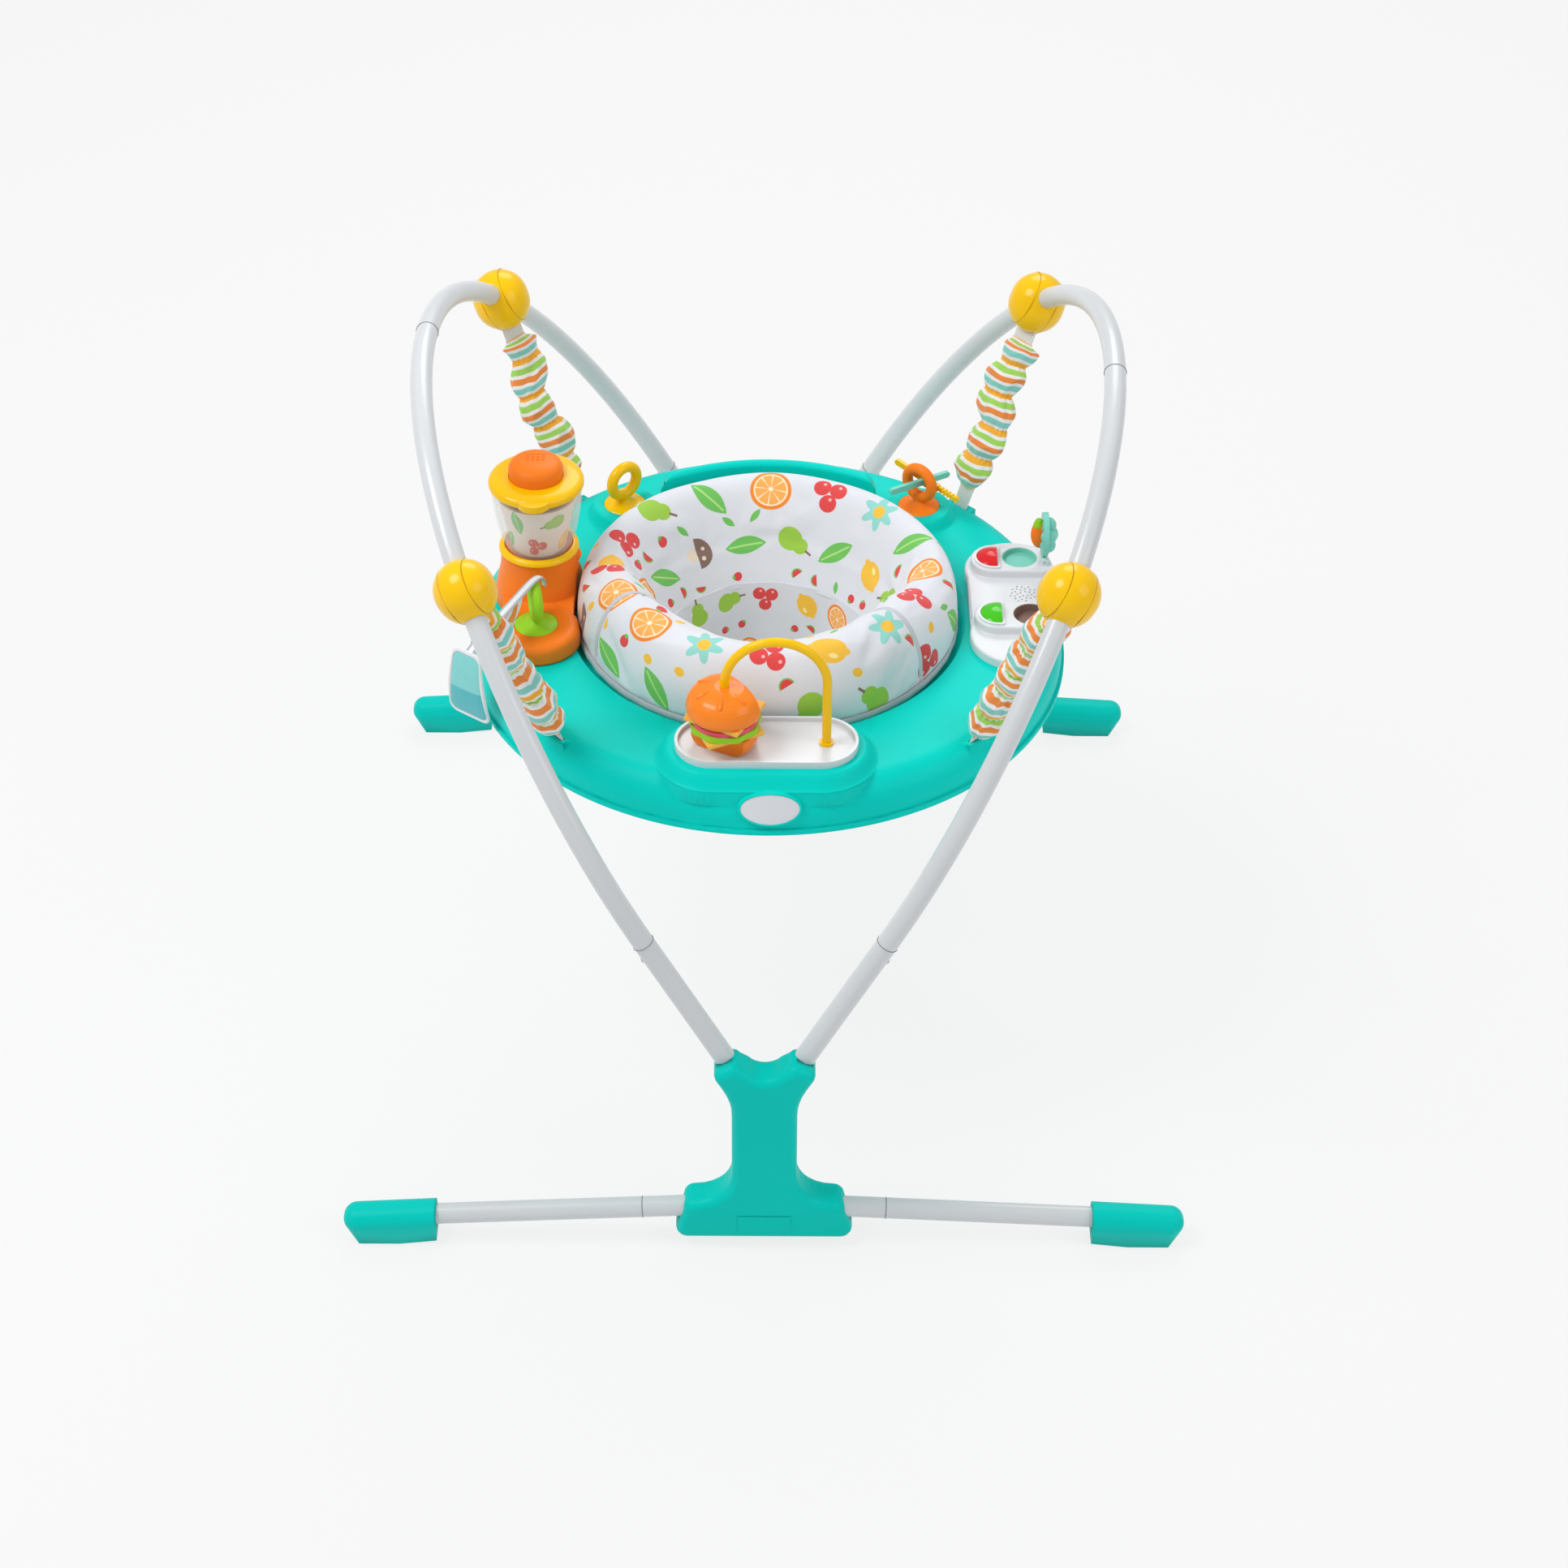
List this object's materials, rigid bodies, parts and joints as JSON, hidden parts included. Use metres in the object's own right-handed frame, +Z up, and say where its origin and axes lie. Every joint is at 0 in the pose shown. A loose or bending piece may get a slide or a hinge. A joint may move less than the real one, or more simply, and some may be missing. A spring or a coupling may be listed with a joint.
{
  "type": "baby jumper",
  "caption": "Stationary baby jumper: two leaning tube hoops carry a round toy tray on elastic straps, with a padded turning seat in its middle.",
  "frame": {"origin": "on the floor at the centre of the four feet, under the tray's axis", "axes": "+X to the right along the base tubes, +Y from the front hub to the rear hub, +Z up"},
  "size_m": [0.8798, 0.9116, 0.8268],
  "materials": {
    "tube_paint": "light grey gloss powder coat",
    "teal_plastic": "satin moulded",
    "tray_plastic": "satin moulded",
    "yellow_plastic": "gloss moulded",
    "orange_plastic": "gloss moulded",
    "lime_plastic": "gloss moulded",
    "mint_plastic": "gloss moulded",
    "brown_plastic": "gloss moulded",
    "red_plastic": "clear tinted, gloss",
    "green_plastic": "clear tinted, gloss",
    "bun_plastic": "satin moulded",
    "cheese_plastic": "satin moulded",
    "ham_plastic": "satin moulded",
    "drum_plastic": "printed",
    "white_plastic": "satin moulded",
    "board_plastic": "dark board and speaker",
    "clear_plastic": "clear moulded",
    "steel": "zinc plated",
    "webbing": "woven elastic webbing",
    "sleeve_fabric": "striped gathered fabric",
    "seat_fabric": "printed soft fabric",
    "tag_fabric": "printed fabric"
  },
  "bodies": {
    "frame": {"front_hub_outer_shell": "teal_plastic", "rear_hub_outer_shell": "teal_plastic", "hub_inner_shells": "teal_plastic", "base_stub_tubes": "tube_paint", "front_left_leg_tube": "tube_paint", "front_right_leg_tube": "tube_paint", "rear_left_leg_tube": "tube_paint", "rear_right_leg_tube": "tube_paint", "front_left_foot": "teal_plastic", "front_right_foot": "teal_plastic", "rear_left_foot": "teal_plastic", "rear_right_foot": "teal_plastic", "front_left_lower_tube": "tube_paint", "front_right_lower_tube": "tube_paint", "rear_left_lower_tube": "tube_paint", "rear_right_lower_tube": "tube_paint", "front_left_arch_tube": "tube_paint", "front_right_arch_tube": "tube_paint", "rear_left_arch_tube": "tube_paint", "rear_right_arch_tube": "tube_paint", "front_left_ball_band": "yellow_plastic", "front_right_ball_band": "yellow_plastic", "rear_left_ball_band": "yellow_plastic", "rear_right_ball_band": "yellow_plastic", "ball_caps": "yellow_plastic", "snap_buttons": "steel", "hub_screws": "steel", "elastic_straps": "webbing", "strap_sleeves": "sleeve_fabric"},
    "tray": {"tray": "tray_plastic", "yellow_loop": "yellow_plastic", "orange_loop": "orange_plastic", "green_loop": "lime_plastic", "blender_base": "orange_plastic", "blender_collar": "yellow_plastic", "blender_jug": "clear_plastic", "blender_lid": "yellow_plastic", "burger_plate": "white_plastic", "burger_bar": "yellow_plastic", "sound_housing": "white_plastic", "sound_module": "board_plastic"},
    "seat": {"seat_ring": "white_plastic", "seat_cushion": "seat_fabric", "seat_bucket": "seat_fabric"},
    "teal_stick": {"teal_stick": "mint_plastic"},
    "yellow_stick": {"yellow_stick": "yellow_plastic"},
    "hang_tag": {"hang_tag": "tag_fabric"},
    "blender_button": {"blender_button": "orange_plastic"},
    "blender_drum": {"blender_drum": "drum_plastic"},
    "burger_top": {"bun_top": "bun_plastic", "cheese_upper": "cheese_plastic"},
    "burger_filling": {"ham_slice": "ham_plastic", "lettuce_leaf": "lime_plastic"},
    "burger_heel": {"cheese_lower": "cheese_plastic", "bun_bottom": "bun_plastic"},
    "red_button": {"red_button": "red_plastic"},
    "green_button": {"green_button": "green_plastic"},
    "mint_flap": {"mint_flap": "mint_plastic"},
    "brown_flap": {"brown_flap": "brown_plastic"}
  },
  "joints": [
    {"name": "tray_bounce", "type": "slide", "parent": "frame", "child": "tray", "axis": [0, 0, 1], "range_m": [-0.08, 0.03], "stiffness_N_per_m": 1500, "springref_m": 0.0349, "deforming": ["elastic_straps", "strap_sleeves"]},
    {"name": "seat_turn", "type": "hinge", "parent": "tray", "child": "seat", "pos_m": [0, 0, 0.478], "axis": [0, 0, 1], "continuous": true},
    {"name": "blender_push", "type": "slide", "parent": "tray", "child": "blender_button", "axis": [0, 0, -1], "range_m": [0, 0.008], "stiffness_N_per_m": 300, "springref_m": -0.006},
    {"name": "drum_turn", "type": "hinge", "parent": "tray", "child": "blender_drum", "pos_m": [-0.242, 0.03, 0.561], "axis": [0, 0, 1], "range_deg": [0, 180]},
    {"name": "red_press", "type": "slide", "parent": "tray", "child": "red_button", "axis": [0, 0, -1], "range_m": [0, 0.003], "stiffness_N_per_m": 500, "springref_m": -0.002},
    {"name": "green_press", "type": "slide", "parent": "tray", "child": "green_button", "axis": [0, 0, -1], "range_m": [0, 0.003], "stiffness_N_per_m": 500, "springref_m": -0.002},
    {"name": "mint_flap_swing", "type": "hinge", "parent": "tray", "child": "mint_flap", "pos_m": [0.297, 0.077, 0.5165], "axis": [0, -1, 0], "range_deg": [-40, 75]},
    {"name": "brown_flap_swing", "type": "hinge", "parent": "tray", "child": "brown_flap", "pos_m": [0.304, -0.027, 0.5165], "axis": [0, -1, 0], "range_deg": [0, 150]},
    {"name": "burger_top_turn", "type": "hinge", "parent": "tray", "child": "burger_top", "pos_m": [-0.04182, -0.248, 0.545], "axis": [0, 0, 1], "continuous": true},
    {"name": "burger_filling_turn", "type": "hinge", "parent": "tray", "child": "burger_filling", "pos_m": [-0.04182, -0.248, 0.535], "axis": [0, 0, 1], "continuous": true},
    {"name": "burger_heel_turn", "type": "hinge", "parent": "tray", "child": "burger_heel", "pos_m": [-0.04182, -0.248, 0.52], "axis": [0, 0, 1], "continuous": true},
    {"name": "teal_stick_rock", "type": "hinge", "parent": "tray", "child": "teal_stick", "pos_m": [0.166, 0.187, 0.5344], "axis": [-0.5, 0.866, 0], "range_deg": [-3, 3]},
    {"name": "yellow_stick_turn", "type": "hinge", "parent": "teal_stick", "child": "yellow_stick", "pos_m": [0.17407, 0.19167, 0.5344], "axis": [0.6639, 0.7478, 0], "range_deg": [-10, 10]},
    {"name": "tag_swing", "type": "hinge", "parent": "tray", "child": "hang_tag", "pos_m": [-0.242, -0.052, 0.5604], "axis": [-0.809, 0.5878, 0], "range_deg": [0, 30]}
  ],
  "couplings": [
    {"joint": "drum_turn", "follows": "blender_push", "rad_per_m": 392}
  ]
}
